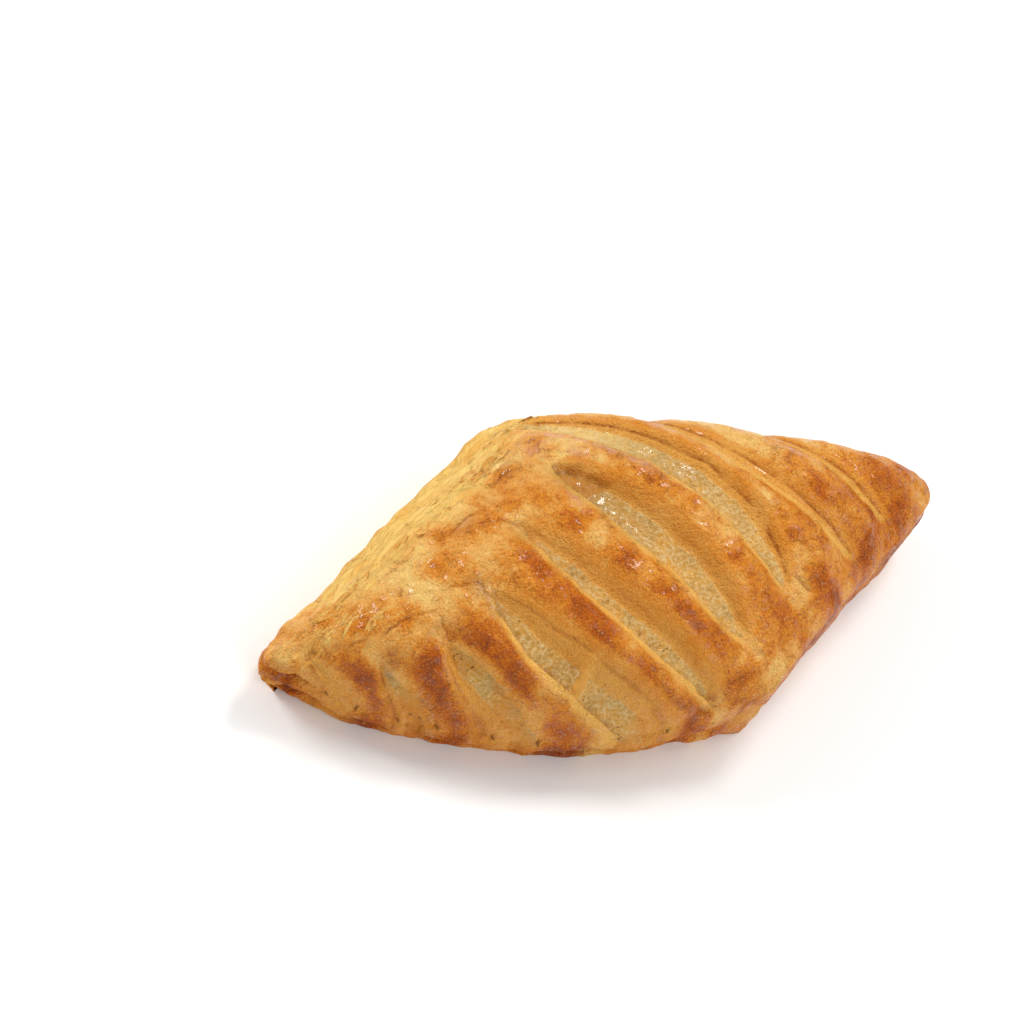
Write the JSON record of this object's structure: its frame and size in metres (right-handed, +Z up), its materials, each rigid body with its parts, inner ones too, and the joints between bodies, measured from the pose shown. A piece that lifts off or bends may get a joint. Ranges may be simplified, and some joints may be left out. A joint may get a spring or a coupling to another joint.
{
  "type": "puff pastry turnover",
  "caption": "Rhomboid puff pastry, baked golden, with a domed slashed top, leafy side walls and two cut ends that roll over a waist.",
  "frame": {"origin": "centre of the flat base", "axes": "+Z up, +X along the long diagonal from the near sharp tip to the far one, +Y towards the far blunt corner"},
  "size_m": [0.1456, 0.071, 0.0364],
  "materials": {
    "crust": null
  },
  "bodies": {
    "root": {"pastry": "crust"}
  },
  "joints": []
}
